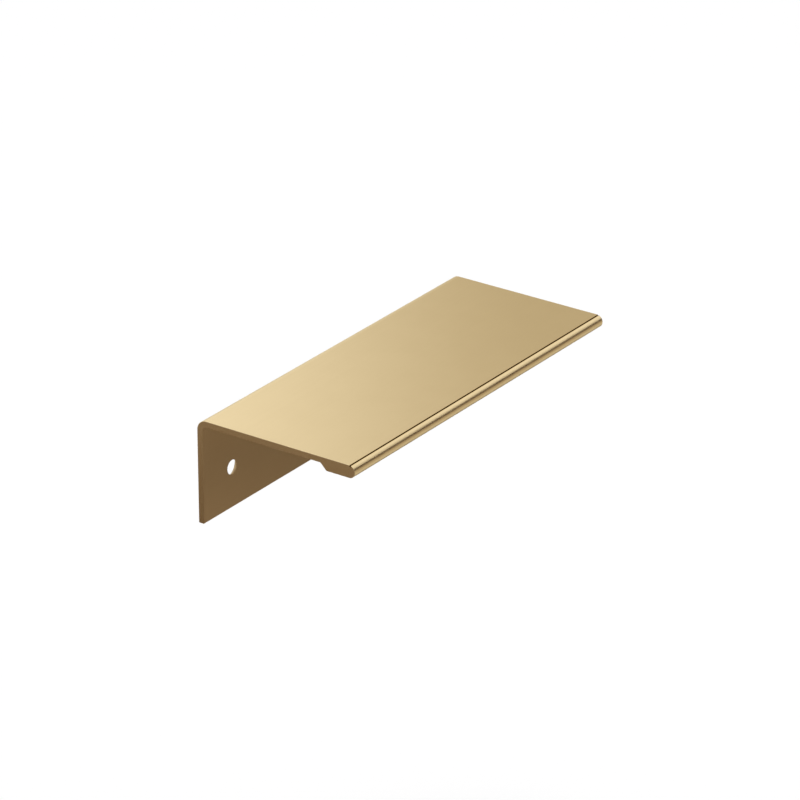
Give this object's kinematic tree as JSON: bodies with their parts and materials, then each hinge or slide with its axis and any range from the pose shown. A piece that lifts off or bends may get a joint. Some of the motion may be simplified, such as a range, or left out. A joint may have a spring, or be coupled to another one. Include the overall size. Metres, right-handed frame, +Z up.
{
  "type": "tab pull",
  "caption": "L-shaped cabinet edge pull: a flat finger plate with a quirked round lip, and a drilled flange that screws to the back of a drawer front or door.",
  "frame": {"origin": "midway between the two screw holes, on the mounting face of the flange (the face that goes against the back of the door)", "axes": "+X along the pull's length, -Y to the front (the rounded nose), +Z up, away from the door's edge"},
  "size_m": [0.116, 0.0503, 0.0299],
  "materials": {
    "champagne_gold": "satin champagne-gold anodised, very fine blasted grain"
  },
  "bodies": {
    "root": {"tab_pull": "champagne_gold"}
  },
  "joints": []
}
